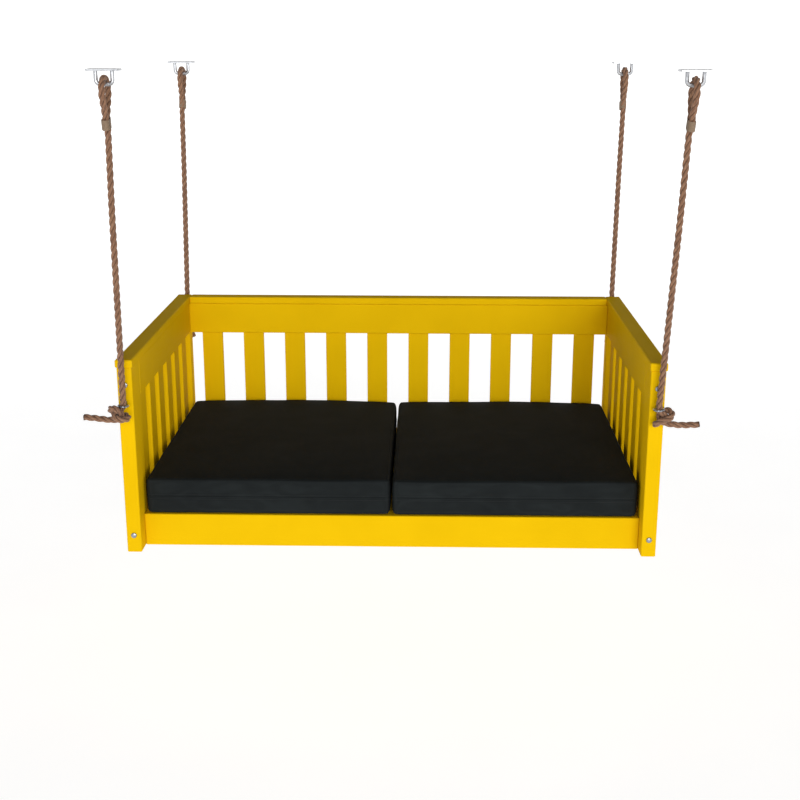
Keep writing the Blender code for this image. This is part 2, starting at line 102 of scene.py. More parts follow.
# The lay of the rope: three strands, each a lobe of the rope's section.
STRANDS = 3
LAY_LENGTH = 0.064
STRAND_RADIUS = 0.0046
STRAND_OFFSET = 0.0039
CROWN_RADIUS = STRAND_OFFSET + STRAND_RADIUS
LOBE_POINTS = 11
ROPE_STEP = 0.0022
SEALED_LENGTH = 0.006

# Stopper knots, in a frame of their own: outboard, up, and away from the post.
RING_INNER = 0.0092
RING_WIRE = 0.006
RING_STANDOFF = 0.028
TAIL_REACH = 0.1035
KNOT_RADIUS = 0.020
KNOT_RISE = 0.010
KNOT_MIDDLE = (0.014, -0.021, 0.0)
KNOT_MOUTH = 0.30  # the part of a turn that the open knot leaves out at each end, in radians
KNOT_POINTS = 60
KNOT_STEP = 0.004
KNOT_ROUNDS = 260
KNOT_EVENING = 6  # rounds from one evening out of the points to the next
KNOT_PASSES = 4
KNOT_SPACING = 0.0172
SAME_TURN = 1.75 * KNOT_SPACING  # points nearer than this along the rope don't push each other
HELD_HEIGHT = -0.003  # of the lead's points, those above this height stay where they are
HELD_POINTS = 18
HELD_TAIL = 3
TOUCH = 0.0003
POST_GAP = 0.0005

# Seizings.
TWINE = 0.0021
SEIZING_TURNS = 12
SEIZING_STEPS = 28
SEIZING_MARGIN = 0.003

# Cushions.
CORNER_RADIUS = 0.012
CUSHION_VOXEL = 0.009
CUSHION_SHRINK = 0.0012
SWELL_LIMITS = (0.004, 0.004, 0.007)
SEWN_WIDTH = 0.007
CLOTH_FRAMES = 20
FOAM_PRESSURE = 4.0
CLOTH_STIFFNESS = 20.0
REAR_CROWN = 0.006
UNEVEN = 0.0025
RIPPLE_WIDTH = 0.02
UNEVEN_SEEDS = {"left": 3.0, "right": 8.0}
WELT = 0.0030
RIM_DROP = 0.004
RIM_TILT = math.radians(40)
ROW_GAP = 0.006
SEAM_STEP = 0.006
RAY_START = 0.08
THREAD = 0.0008
THREAD_SIDES = 5
STITCH_PITCH = 0.0055
STITCH_SHARES = (0.08, 0.40, 0.72)
STITCH_LIFTS = (-0.4, 0.55, -0.4)

# Studio.
FLOOR_DROP = 0.42
FLOOR_FRONT = -7.0
FLOOR_BACK = 3.2
FLOOR_HALF = 7.0
COVE_RADIUS = 2.0
FLOOR_GLOW = 0.84
BACKDROP_TOP = 0.45
KEY_STRENGTH = 1.78
KEY_SPREAD = 0.6
KEY_DIRECTION = (-0.16, 1.0, -0.16)
HORIZON_LIGHT = 1.0
ZENITH_LIGHT = 0.10

# ---------------------------------------------------------------- node helpers


def new_material(name, roughness, metallic=0.0):
    """A material with a plain Principled surface, and that surface's shader."""
    material = bpy.data.materials.new(name)
    material.use_nodes = True
    shader = material.node_tree.nodes["Principled BSDF"]
    shader.inputs["Roughness"].default_value = roughness
    shader.inputs["Metallic"].default_value = metallic
    return material, shader


def add_node(material, kind, **values):
    """A new shader node of a kind, with values set on its sockets."""
    node = material.node_tree.nodes.new(f"ShaderNode{kind}")
    for socket, value in values.items():
        node.inputs[socket.replace("_", " ")].default_value = value
    return node


def wire(material, start, output, end, socket):
    """Links one node's output to another node's input."""
    material.node_tree.links.new(start.outputs[output], end.inputs[socket])


def add_attribute(material, name):
    """A value that the mesh itself carries."""
    source = add_node(material, "Attribute")
    source.attribute_name = name
    return source


def add_mapping(material, scale=(1.0, 1.0, 1.0), attribute=None):
    """Coordinates stretched by scale: the object's own, or those that a mesh attribute holds."""
    mapping = add_node(material, "Mapping", Scale=scale)
    if attribute:
        wire(material, add_attribute(material, attribute), "Vector", mapping, "Vector")
    else:
        wire(material, add_node(material, "TexCoord"), "Object", mapping, "Vector")
    return mapping


def add_noise(material, mapping, scale, detail=3.0, roughness=0.5):
    """Noise read at the mapped coordinates."""
    texture = add_node(material, "TexNoise", Scale=scale, Detail=detail, Roughness=roughness)
    wire(material, mapping, "Vector", texture, "Vector")
    return texture


def add_ramp(material, source, stops):
    """A colour ramp over a noise, with a colour for each position in stops."""
    ramp = add_node(material, "ValToRGB")
    elements = ramp.color_ramp.elements
    while len(elements) < len(stops):
        elements.new(0.5)
    for element, (position, colour) in zip(elements, stops.items()):
        element.position = position
        element.color = (*colour, 1.0)
    wire(material, source, "Fac", ramp, "Fac")
    return ramp


def add_range(material, source, output, low, high, start=0.3, end=0.7):
    """Maps start..end onto low..high."""
    span = add_node(material, "MapRange", From_Min=start, From_Max=end, To_Min=low, To_Max=high)
    wire(material, source, output, span, "Value")
    return span


def add_bump(material, source, output, distance, strength, below=None):
    """Bump from a height; below is a bump node that this one adds to."""
    bump = add_node(material, "Bump", Distance=distance, Strength=strength)
    wire(material, source, output, bump, "Height")
    if below:
        wire(material, below, "Normal", bump, "Normal")
    return bump


def add_mix(material, factor, output, first, second):
    """Mixes two colours; each is a (node, output) pair or a colour. Gives such a pair itself."""
    mix = add_node(material, "Mix")
    mix.data_type = "RGBA"
    wire(material, factor, output, mix, "Factor")
    for socket, source in (("A", first), ("B", second)):
        slot = next(s for s in mix.inputs if s.name == socket and s.type == "RGBA")
        if len(source) == 2:
            material.node_tree.links.new(source[0].outputs[source[1]], slot)
        else:
            slot.default_value = (*source, 1.0)
    return mix, next(i for i, s in enumerate(mix.outputs) if s.type == "RGBA")


def finish_surface(material, shader, colour, bump, roughness=None):
    """Wires a (node, output) colour, a bump and perhaps a range of roughness to the shader."""
    wire(material, *colour, shader, "Base Color")
    wire(material, bump, "Normal", shader, "Normal")
    if roughness:
        wire(material, roughness, "Result", shader, "Roughness")
    return material


# ---------------------------------------------------------------- materials

YELLOW = (0.790, 0.484, 0.0030)
YELLOW_DEEP = (0.760, 0.462, 0.0026)
YELLOW_WORN = (0.850, 0.560, 0.010)
DECK_YELLOW = (0.77, 0.47, 0.005)
DECK_YELLOW_DEEP = (0.66, 0.40, 0.004)
PAINT_IOR = 1.03
DECK_IOR = 1.12
WORN_EDGE = 0.003
ZINC = ((0.27, 0.29, 0.33), (0.44, 0.46, 0.50))
GALVANISED = ((0.38, 0.39, 0.41), (0.56, 0.57, 0.59))
YARN_TINTS = ((0.135, 0.064, 0.035), (0.243, 0.124, 0.070), (0.370, 0.210, 0.126))
ROPE_DUST = ((0.208, 0.108, 0.067), (0.290, 0.157, 0.090))
# Painted shade for the grooves between the rope's strands.
ROPE_GROOVE_SHADE = (0.060, 0.028, 0.016)
ROPE_SEALED = (0.035, 0.017, 0.012)
CANVAS_TINTS = ((0.0098, 0.0121, 0.0126), (0.0145, 0.0178, 0.0184))
# Painted shade for the gaps between the canvas's threads.
CANVAS_GAP_SHADE = (0.0075, 0.0092, 0.0096)
CANVAS_IOR = 1.2
TWINE_TINTS = ((0.16, 0.10, 0.06), (0.36, 0.26, 0.17))
THREAD_TINTS = ((0.012, 0.013, 0.013), (0.024, 0.026, 0.026))
PAPER_TINTS = ((0.42, 0.42, 0.42), (0.46, 0.46, 0.46))


def make_paint(axis):
    """Satin yellow paint on planed timber; the grain under it runs along axis, 0, 1 or 2."""
    material, shader = new_material(f"yellow_paint_{'xyz'[axis]}", 0.5)
    shader.inputs["IOR"].default_value = PAINT_IOR
    along = [1.0, 1.0, 1.0]
    along[axis] = 0.055
    grain = add_noise(material, add_mapping(material, along), scale=260.0, detail=4.0, roughness=0.62)
    cloud = add_noise(material, add_mapping(material), scale=7.0, detail=2.0)
    tint = add_ramp(material, cloud, {0.35: YELLOW_DEEP, 0.62: YELLOW})
    # Paint wears thin along the edges, where the bevelled normal leaves the face's own.
    bevel = add_node(material, "Bevel", Radius=WORN_EDGE)
    bevel.samples = 4
    facing = add_node(material, "VectorMath")
    facing.operation = "DOT_PRODUCT"
    wire(material, bevel, "Normal", facing, 0)
    wire(material, add_node(material, "NewGeometry"), "Normal", facing, 1)
    edge = add_range(material, facing, "Value", 0.55, 0.0, start=0.80, end=0.985)
    worn = add_mix(material, edge, "Result", (tint, "Color"), YELLOW_WORN)
    sheen = add_range(material, grain, "Fac", 0.42, 0.58)
    fibres = add_bump(material, grain, "Fac", 0.0004, 0.55)
    waves = add_noise(material, add_mapping(material, along), scale=34.0, detail=2.0)
    relief = add_bump(material, waves, "Fac", 0.0009, 0.30, below=fibres)
    return finish_surface(material, shader, worn, relief, sheen)


def make_plywood():
    """Matt painted board for the deck, with the rougher grain of sheet timber."""
    material, shader = new_material("deck_paint", 0.6)
    shader.inputs["IOR"].default_value = DECK_IOR
    mapping = add_mapping(material, (0.05, 1.0, 1.0))
    grain = add_noise(material, mapping, scale=210.0, detail=5.0, roughness=0.65)
    tint = add_ramp(material, grain, {0.3: DECK_YELLOW_DEEP, 0.7: DECK_YELLOW})
    rough = add_range(material, grain, "Fac", 0.52, 0.70)
    relief = add_bump(material, grain, "Fac", 0.0006, 0.5)
    return finish_surface(material, shader, (tint, "Color"), relief, rough)


def make_steel(name, tints, low, high, spangle):
    """Plated steel: mottled plating, with a roughness from low to high, and fine scratches."""
    material, shader = new_material(name, (low + high) / 2, 1.0)
    plate = add_noise(material, add_mapping(material), scale=spangle, roughness=0.6)
    tint = add_ramp(material, plate, dict(zip((0.35, 0.65), tints)))
    rough = add_range(material, plate, "Fac", low, high)
    brushed = add_mapping(material, (1.0, 1.0, 0.12))
    scratches = add_noise(material, brushed, scale=1500.0, detail=2.0)
    relief = add_bump(material, scratches, "Fac", 0.00006, 0.4)
    return finish_surface(material, shader, (tint, "Color"), relief, rough)


def make_rope_material():
    """Brown rope: yarns and fibres run along the rope, read from the rope's own unrolled space."""
    material, shader = new_material("rope_fibre", 0.86)
    shader.inputs["Sheen Weight"].default_value = 0.15
    shader.inputs["Sheen Roughness"].default_value = 0.5
    shader.inputs["Specular IOR Level"].default_value = 0.25
    along = add_mapping(material, (1.0, 1.0, 0.10), attribute="rope_space")
    fibres = add_noise(material, along, scale=1400.0, detail=4.0, roughness=0.65)
    yarns = add_noise(material, along, scale=460.0, detail=2.0)
    stretched = add_mapping(material, (1.0, 1.0, 0.4), attribute="rope_space")
    patches = add_noise(material, stretched, scale=60.0)
    tint = add_ramp(material, yarns, dict(zip((0.34, 0.5, 0.66), YARN_TINTS)))
    dust = add_ramp(material, patches, dict(zip((0.35, 0.65), ROPE_DUST)))
    factor = add_range(material, fibres, "Fac", 0.15, 0.75)
    blended = add_mix(material, factor, "Result", (tint, "Color"), (dust, "Color"))
    # Painted shade: the grooves between the strands are painted darker, where shade falls between them;
    # crown is 0 in a groove and 1 on top of a strand.
    shade = add_range(material, add_attribute(material, "crown"), "Fac", 0.2, 1.0, start=0.0, end=0.34)
    groove_shaded = add_mix(material, shade, "Result", ROPE_GROOVE_SHADE, blended)
    # The tail's end is sealed with heat, which turns it dark.
    burnt = add_range(material, add_attribute(material, "sealed"), "Fac", 0.0, 0.85, start=0.2, end=0.8)
    ended = add_mix(material, burnt, "Result", groove_shaded, ROPE_SEALED)
    coarse = add_bump(material, yarns, "Fac", 0.0011, 0.8)
    relief = add_bump(material, fibres, "Fac", 0.0004, 0.7, below=coarse)
    return finish_surface(material, shader, ended, relief)


def add_threads(material, axis):
    """Ribs a millimetre apart across an axis, as threads make them."""
    threads = add_node(material, "TexWave", Scale=300.0, Distortion=0.6, Detail=1.0)
    threads.bands_direction = axis
    wire(material, add_mapping(material), "Vector", threads, "Vector")
    return threads


def add_highest(material, first, output, second):
    """The higher of two heights."""
    both = add_node(material, "Math")
    both.operation = "MAXIMUM"
    wire(material, first, output, both, 0)
    wire(material, second, "Fac", both, 1)
    return both


def make_canvas():
    """Black woven canvas: threads along all three axes with painted shade in the gaps between them, a
    little dust, shallow creases.
    """
    material, shader = new_material("black_canvas", 0.85)
    shader.inputs["IOR"].default_value = CANVAS_IOR
    flat = add_highest(material, add_threads(material, "X"), "Fac", add_threads(material, "Y"))
    weave = add_highest(material, flat, "Value", add_threads(material, "Z"))
    dust = add_noise(material, add_mapping(material), scale=9.0, detail=4.0, roughness=0.6)
    tint = add_ramp(material, dust, dict(zip((0.3, 0.7), CANVAS_TINTS)))
    # Painted shade: where the weave is low, between the threads, the colour turns darker.
    thread_share = add_range(material, weave, "Value", 0.0, 1.0, start=0.2, end=0.9)
    woven = add_mix(material, thread_share, "Result", CANVAS_GAP_SHADE, (tint, "Color"))
    ribs = add_bump(material, weave, "Value", 0.0004, 0.45)
    creases = add_noise(material, add_mapping(material), scale=26.0)
    relief = add_bump(material, creases, "Fac", 0.0015, 0.25, below=ribs)
    return finish_surface(material, shader, woven, relief)


def make_twisted_thread(name, roughness, tints, scale, distance, strength):
    """Twine or sewing thread: a tight twist that catches the light."""
    material, shader = new_material(name, roughness)
    twist = add_noise(material, add_mapping(material), scale=scale, detail=2.0)
    tint = add_ramp(material, twist, dict(zip((0.3, 0.7), tints)))
    relief = add_bump(material, twist, "Fac", distance, strength)
    return finish_surface(material, shader, (tint, "Color"), relief), shader


def make_twine():
    """Waxed twine for the seizings."""
    material, _ = make_twisted_thread("waxed_twine", 0.6, TWINE_TINTS, 1800.0, 0.0003, 0.6)
    return material


def make_black_thread():
    """Polyester sewing thread, a shade lighter than the canvas."""
    material, shader = make_twisted_thread("black_thread", 0.5, THREAD_TINTS, 2500.0, 0.0002, 0.5)
    shader.inputs["Specular IOR Level"].default_value = 0.3
    return material


def make_floor_material():
    """Near-white studio paper with a faint tooth."""
    material, shader = new_material("studio_paper", 0.9)
    tooth = add_noise(material, add_mapping(material), scale=3.0, detail=4.0)
    tint = add_ramp(material, tooth, dict(zip((0.3, 0.7), PAPER_TINTS)))
    wire(material, tint, "Color", shader, "Base Color")
    shader.inputs["Specular IOR Level"].default_value = 0.0
    shader.inputs["Emission Color"].default_value = (1.0, 1.0, 1.0, 1.0)
    shader.inputs["Emission Strength"].default_value = FLOOR_GLOW
    return material


# ---------------------------------------------------------------- mesh helpers


def new_piece(name, verts, faces, material):
    """A smooth mesh object in the row frame from plain lists."""
    mesh = bpy.data.meshes.new(name)
    mesh.from_pydata([tuple(v) for v in verts], [], faces)
    mesh.materials.append(material)
    mesh.update()
    mesh.shade_smooth()
    piece = bpy.data.objects.new(name, mesh)
    bpy.context.scene.collection.objects.link(piece)
    return piece


def resample(points, step):
    """The same line as evenly spaced points, about step apart."""
    spans = np.linalg.norm(np.diff(points, axis=0), axis=1)
    reach = np.concatenate([[0.0], np.cumsum(spans)])
    count = max(2, int(round(reach[-1] / step)) + 1)
    marks = np.linspace(0.0, reach[-1], count)
    return np.stack([np.interp(marks, reach, points[:, axis]) for axis in range(3)], axis=1)


def smooth_line(points, rounds):
    """Rounds off a line's corners by averaging neighbours; its ends stay."""
    line = points.copy()
    for _ in range(rounds):
        line[1:-1] = 0.25 * line[:-2] + 0.5 * line[1:-1] + 0.25 * line[2:]
    return line


def line_length(points):
    """Length of a line of points."""
    return float(np.linalg.norm(np.diff(points, axis=0), axis=1).sum())


def unit(vector):
    """A vector's direction."""
    return vector / np.linalg.norm(vector)


def carried_frames(points):
    """Two side vectors at each point of a line, square to it and to each other, without a twist."""
    tangents = np.gradient(points, axis=0)
    tangents /= np.linalg.norm(tangents, axis=1)[:, None]
    side = np.cross(tangents[0], (0.0, 1.0, 0.0))
    if np.linalg.norm(side) < 0.1:
        side = np.cross(tangents[0], (1.0, 0.0, 0.0))
    sides = []
    for tangent in tangents:
        side = unit(side - tangent * side.dot(tangent))
        sides.append(side)
    sides = np.array(sides)
    return sides, np.cross(tangents, sides)


def tube_faces(rings, around):
    """The faces of a closed tube: rings of points, each with the same number of points around."""
    faces = []
    for ring in range(rings - 1):
        for point in range(around):
            here = ring * around + point
            beside = ring * around + (point + 1) % around
            faces.append((here, beside, beside + around, here + around))
    faces.append(tuple(reversed(range(around))))
    faces.append(tuple(range((rings - 1) * around, rings * around)))
    return faces


def sweep(name, points, radius, sides, material):
    """A round closed tube along a line."""
    beside, above = carried_frames(points)
    verts = []
    for ring, point in enumerate(points):
        for side in range(sides):
            angle = 2 * math.pi * side / sides
            out = math.cos(angle) * beside[ring] + math.sin(angle) * above[ring]
            verts.append(point + radius * out)
    return new_piece(name, verts, tube_faces(len(points), sides), material)


# ---------------------------------------------------------------- ropes


def rope_section():
    """The outline of the laid rope's section: (angle, radius, crown) round its lobes."""
    outline = []
    for lobe in range(STRANDS):
        for point in range(LOBE_POINTS):
            offset = (point / LOBE_POINTS - 0.5) * 2 * math.pi / STRANDS
            rise = math.sqrt(STRAND_RADIUS**2 - (STRAND_OFFSET * math.sin(offset)) ** 2)
            reach = STRAND_OFFSET * math.cos(offset) + rise
            crown = 1.0 - abs(offset) / (math.pi / STRANDS)
            outline.append((lobe * 2 * math.pi / STRANDS + offset, reach, crown))
    return outline


class LaidRope:
    """One rope from its seized end to its tail, sliced into pieces that share one lay."""

    def __init__(self, points):
        """Takes the middle of the rope as a line of points."""
        self.points = resample(points, ROPE_STEP)
        self.reach = np.arange(len(self.points)) * line_length(self.points) / (len(self.points) - 1)
        self.sides, self.ups = carried_frames(self.points)

    def piece(self, name, first, last, material):
        """The rope from point first to point last, as a closed tube."""
        outline = rope_section()
        verts, space, crowns, seals = [], [], [], []
        for ring in range(first, last + 1):
            turn = 2 * math.pi * self.reach[ring] / LAY_LENGTH
            sealed = max(0.0, 1.0 - (self.reach[-1] - self.reach[ring]) / SEALED_LENGTH)
            for angle, reach, crown in outline:
                aside, up = math.cos(angle + turn), math.sin(angle + turn)
                out = aside * self.sides[ring] + up * self.ups[ring]
                verts.append(self.points[ring] + reach * out)
                space.append((reach * aside, reach * up, self.reach[ring]))
                crowns.append(crown)
                seals.append(sealed)
        piece = new_piece(name, verts, tube_faces(last - first + 1, len(outline)), material)
        place = piece.data.attributes.new("rope_space", "FLOAT_VECTOR", "POINT")
        place.data.foreach_set("vector", np.array(space, np.float32).ravel())
        for label, values in (("crown", crowns), ("sealed", seals)):
            shares = piece.data.attributes.new(label, "FLOAT", "POINT")
            shares.data.foreach_set("value", np.array(values, np.float32))
        return piece


def corner_signs(corner):
    """The signs of a corner such as front_left: outboard in x, and away from the seat in y."""
    end, side = corner.split("_")
    return (-1.0 if side == "left" else 1.0), (-1.0 if end == "front" else 1.0)


def ease(share):
    """A smooth step from 0 to 1."""
    return share * share * (3 - 2 * share)


def rope_route(corner):
    """The rope from its seized end over the hanger bar and down to its ring, and the ring's place."""
    outward, away = corner_signs(corner)
    ring = np.array((outward * RING_X, away * RING_Y, RING_Z))
    bar = np.array((HANGER_X[corner], away * RING_Y, BAR_Z))
    lean = (bar - ring) / (bar[2] - ring[2])

    def place(sideways, height):
        return ring + lean * (height - ring[2]) + np.array((0.0, away * sideways, 0.0))

    loop_middle = BAR_Z + BAR / 2 + SLACK + CROWN_RADIUS - LOOP_RADIUS
    throat = BAR_Z - THROAT_DROP
    route = [place(THROAT_HALF, throat - SHORT_END), place(THROAT_HALF, throat - SHORT_END / 2)]
    legs = []
    for share in (0.0, 0.25, 0.5, 0.75, 1.0):
        sideways = THROAT_HALF + (LOOP_RADIUS - THROAT_HALF) * ease(share)
        legs.append((sideways, throat + (loop_middle - throat) * share))
    route += [place(sideways, height) for sideways, height in legs]
    for angle in np.linspace(0.0, math.pi, 17)[1:-1]:
        route.append(place(LOOP_RADIUS * math.cos(angle), loop_middle + LOOP_RADIUS * math.sin(angle)))
    route += [place(-sideways, height) for sideways, height in reversed(legs)]
    foot = ring[2] + BEND_HEIGHT
    for share in np.arange(1, 16) / 15:
        off = ease(max(0.0, 1.0 - 2.2 * share))
        route.append(place(-THROAT_HALF * off, throat + (foot - throat) * share))
    route += [place(0.0, foot - (foot - ring[2]) * share) for share in (0.25, 0.5, 0.75, 0.93)]
    return np.array(route), ring


def turn_about(axis, angle):
    """Rotation matrix about an axis."""
    return np.array(Matrix.Rotation(angle, 3, Vector(axis)))


def knot_line(slant, tilt, hand, tail_height):
    """A stopper knot drawn tight under the ring, from the ring's middle to the end of the tail.

    It starts as an open overhand knot, and then shortens round by round while the rope's thickness,
    the ring and the post behind keep its turns apart.
    """
    turn = np.linspace(KNOT_MOUTH, 2 * math.pi - KNOT_MOUTH, KNOT_POINTS)
    reach = KNOT_RADIUS + KNOT_RISE * np.cos(3 * turn)
    pull = np.array((math.cos(slant), -math.sin(slant), 0.0))
    spin = turn_about(pull, tilt)
    across = spin @ np.array((math.sin(slant), math.cos(slant), 0.0))
    out = spin @ np.array((0.0, 0.0, 1.0))
    knot = (
        np.outer(reach * np.cos(2 * turn) - 0.35 * KNOT_RADIUS, across)
        + np.outer(reach * np.sin(2 * turn), pull)
        + np.outer(hand * KNOT_RISE * np.sin(3 * turn), out)
        + np.array(KNOT_MIDDLE)
    )
    lead = np.array([(0.0, height, 0.0) for height in np.linspace(0.05, -0.002, 12)])
    end = np.array((TAIL_REACH, tail_height, 0.0))
    tail = np.array([knot[-1] + (end - knot[-1]) * share for share in np.linspace(0.15, 1, 16)])
    line = resample(np.vstack([lead, knot, tail]), KNOT_STEP)
    for number in range(1, KNOT_ROUNDS + 1):
        line = tighten(line)
        if number % KNOT_EVENING == 0:
            line = resample(line, KNOT_STEP)
    return line


def tighten(line):
    """One round of a knot's tightening: it shortens, then its turns and the ring push back."""
    count = np.arange(len(line))
    held = ((line[:, 1] > HELD_HEIGHT) & (count < HELD_POINTS)) | (count >= len(line) - HELD_TAIL)
    free = (~held).astype(float)[:, None]
    pulled = line.copy()
    pulled[1:-1] += 0.25 * (line[:-2] + line[2:] - 2 * line[1:-1]) * free[1:-1]
    line = pulled
    apart = np.abs(count[:, None] - count[None, :]) * KNOT_STEP > SAME_TURN
    for _ in range(KNOT_PASSES):
        line = push_turns_apart(line, free, apart)
        push_off_ring_and_post(line, held)
    return line


def push_turns_apart(line, free, apart):
    """Moves free points that touch another turn of the knot away from it."""
    gap = line[:, None] - line[None]
    dist = np.linalg.norm(gap, axis=2) + 1e-9
    near = apart & (dist < KNOT_SPACING)
    push = np.where(near, (KNOT_SPACING - dist) / dist * 0.5, 0.0)
    shared = np.maximum(1.0, np.sqrt(near.sum(axis=1)))
    return line + free * (gap * push[:, :, None]).sum(axis=1) / shared[:, None]


def push_off_ring_and_post(line, held):
    """Moves points, apart from held ones, out of the eye screw's ring and off the post's face."""
    ring_gap = ROPE / 2 + RING_WIRE / 2 + TOUCH
    post_face = ROPE / 2 + POST_GAP - RING_STANDOFF
    flat = np.hypot(line[:, 0], line[:, 2]) + 1e-9
    inward = np.stack([line[:, 0] / flat, np.zeros(len(line)), line[:, 2] / flat], axis=1)
    gap = line - inward * (RING_INNER + RING_WIRE / 2)
    dist = np.linalg.norm(gap, axis=1) + 1e-9
    near = (dist < ring_gap) & ~held
    line[near] += gap[near] / dist[near, None] * (ring_gap - dist[near])[:, None]
    behind = (line[:, 2] < post_face) & ~held
    line[behind, 2] = post_face


# How the knot of each side lies: slant, tilt, hand, and height of the tail's end.
KNOTS = {
    "left": (0.0, math.radians(240), 1, -0.031),
    "right": (0.0, math.radians(120), -1, -0.039),
}


def racetrack(around, half, radius):
    """A point of the line round two circles that lie side by side, at a distance along it."""
    arc = math.pi * radius
    if around < 2 * half:
        return -half + around, radius
    if around < 2 * half + arc:
        angle = (around - 2 * half) / radius
        return half + radius * math.sin(angle), radius * math.cos(angle)
    if around < 4 * half + arc:
        return half - (around - 2 * half - arc), -radius
    angle = (around - 4 * half - arc) / radius
    return -half - radius * math.sin(angle), -radius * math.cos(angle)


def make_seizing(corner, route, material):
    """Twine wound round the two legs of the eye."""
    lean = unit(route[4] - route[0])
    across = np.array((0.0, corner_signs(corner)[1], 0.0))
    across = unit(across - lean * across.dot(lean))
    out = np.cross(lean, across)
    base = route[0] - across * THROAT_HALF
    radius = ROPE / 2 + TWINE * 0.35
    perimeter = 2 * math.pi * radius + 4 * THROAT_HALF
    points = []
    for turn in np.arange(SEIZING_TURNS * SEIZING_STEPS + 1) / SEIZING_STEPS:
        aside, up = racetrack((turn % 1.0) * perimeter, THROAT_HALF, radius)
        lift = SEIZING_MARGIN + turn * (SEIZING_LENGTH - 2 * SEIZING_MARGIN) / SEIZING_TURNS
        points.append(base + lean * lift + across * aside + out * up)
    piece = sweep(f"seizing_{corner}", np.array(points), TWINE / 2, 8, material)
    return piece


def rope_line(corner, knots):
    """A whole rope's middle line, its route down to the ring, and the ring's place.

    The rear knots mirror the front ones.
    """
    route, ring = rope_route(corner)
    outward, away = corner_signs(corner)
    local = knots[corner.split("_")[1]]
    knot = ring + np.stack([outward * local[:, 0], away * local[:, 2], local[:, 1]], axis=1)
    # The knot's line starts above the ring, where the route already is.
    knot = knot[knot[:, 2] < ring[2] - JOIN_DROP]
    return smooth_line(resample(np.vstack([route, knot]), ROUTE_STEP), 3), route, ring


def make_rope(corner, knots, rope_material, twine_material):
    """One whole rope: eye leg, long part, knot with its tail, and the seizing."""
    line, route, ring = rope_line(corner, knots)
    rope = LaidRope(line)
    points = rope.points
    top = int(np.argmax(points[:, 2]))
    below = int(np.argmax((points[:, 2] < ring[2] - SLICE_DROP) & (np.arange(len(points)) > top)))
    body = f"{corner.split('_')[0]}_ropes"
    leg = rope.piece(f"rope_eye_leg_{corner}", 0, top, rope_material)
    long_part = rope.piece(f"rope_{corner}_laid", top, below, rope_material)
    knotted = rope.piece(f"rope_knot_{corner}", below, len(points) - 1, rope_material)
    seizing = make_seizing(corner, route, twine_material)
    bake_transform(long_part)
    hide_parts(f"rope_{corner}")
    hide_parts(f"rope_end_{corner}")
    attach(leg, body)
    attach(seizing, body)
    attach(knotted, "seat")


def make_ropes():
    """All four ropes; the two knots are worked out once and mirrored to the rear."""
    rope_material = make_rope_material()
    twine_material = make_twine()
    knots = {side: knot_line(*shape) for side, shape in KNOTS.items()}
    for corner in HANGER_X:
        make_rope(corner, knots, rope_material, twine_material)


# ---------------------------------------------------------------- cushions


def rounded_outline(low, high, radius, steps=5):
    """The outline of a block with rounded upright corners, counterclockwise, with outward normals."""
    outline = []
    middles = [
        (high[0] - radius, high[1] - radius, 0.0),
        (low[0] + radius, high[1] - radius, 90.0),
        (low[0] + radius, low[1] + radius, 180.0),
        (high[0] - radius, low[1] + radius, 270.0),
    ]
    for x, y, start in middles:
        for step in range(steps + 1):
            angle = math.radians(start + 90.0 * step / steps)
            out = Vector((math.cos(angle), math.sin(angle), 0.0))
            outline.append((Vector((x, y, 0.0)) + radius * out, out))
    return outline


def make_block(name, low, high, radius, material):
    """A closed block with rounded upright corners."""
    outline = rounded_outline(low, high, radius)
    count = len(outline)
    verts = [(spot.x, spot.y, height) for height in (low.z, high.z) for spot, _ in outline]
    faces = [tuple(reversed(range(count))), tuple(range(count, 2 * count))]
    for index in range(count):
        after = (index + 1) % count
        faces.append((index, after, after + count, index + count))
    return new_piece(name, verts, faces, material)


def apply_modifiers(piece):
    """Replaces a piece's mesh with what its modifiers make of it."""
    bpy.context.view_layer.update()
    seen = piece.evaluated_get(bpy.context.evaluated_depsgraph_get())
    made = bpy.data.meshes.new_from_object(seen)
    piece.modifiers.clear()
    piece.data = made


def side_gap(spot, low, high):
    """How far inside the nearest upright side of a box a place is."""
    return min(spot.x - low.x, high.x - spot.x, spot.y - low.y, high.y - spot.y)


def sewn_edges(piece, low, high):
    """Points that sewing or the deck holds while the foam swells: edges, middle seam and underside."""
    held = []
    for vert in piece.data.vertices:
        spot = vert.co
        at_side = side_gap(spot, low, high) < SEWN_WIDTH
        at_rim = at_side and min(spot.z - low.z, high.z - spot.z) < SEWN_WIDTH
        at_seam = at_side and abs(spot.z - (low.z + high.z) / 2) < SEWN_WIDTH
        if at_rim or at_seam or spot.z - low.z < SEWN_WIDTH / 2:
            held.append(vert.index)
    return held


def swell(piece, held):
    """Blows the cover up with a cloth simulation, its seams held, and keeps each point's move small."""
    start = np.array([vert.co for vert in piece.data.vertices])
    group = piece.vertex_groups.new(name="sewn")
    group.add(held, 1.0, "REPLACE")
    cloth = piece.modifiers.new("foam", "CLOTH")
    cloth.settings.use_pressure = True
    cloth.settings.uniform_pressure_force = FOAM_PRESSURE
    cloth.settings.effector_weights.gravity = 0.0
    cloth.settings.vertex_group_mass = "sewn"
    cloth.settings.tension_stiffness = CLOTH_STIFFNESS
    cloth.settings.compression_stiffness = CLOTH_STIFFNESS
    cloth.settings.bending_stiffness = 2.0
    cloth.settings.quality = 4
    cloth.collision_settings.use_collision = False
    cloth.point_cache.frame_start, cloth.point_cache.frame_end = 1, CLOTH_FRAMES
    scene = bpy.context.scene
    for number in range(1, CLOTH_FRAMES + 1):
        scene.frame_set(number)
    apply_modifiers(piece)
    scene.frame_set(1)
    move = np.array([vert.co for vert in piece.data.vertices]) - start
    limits = np.array(SWELL_LIMITS)
    kept = start + limits * np.tanh(move / limits)
    piece.data.vertices.foreach_set("co", kept.astype(np.float32).ravel())
    piece.data.update()


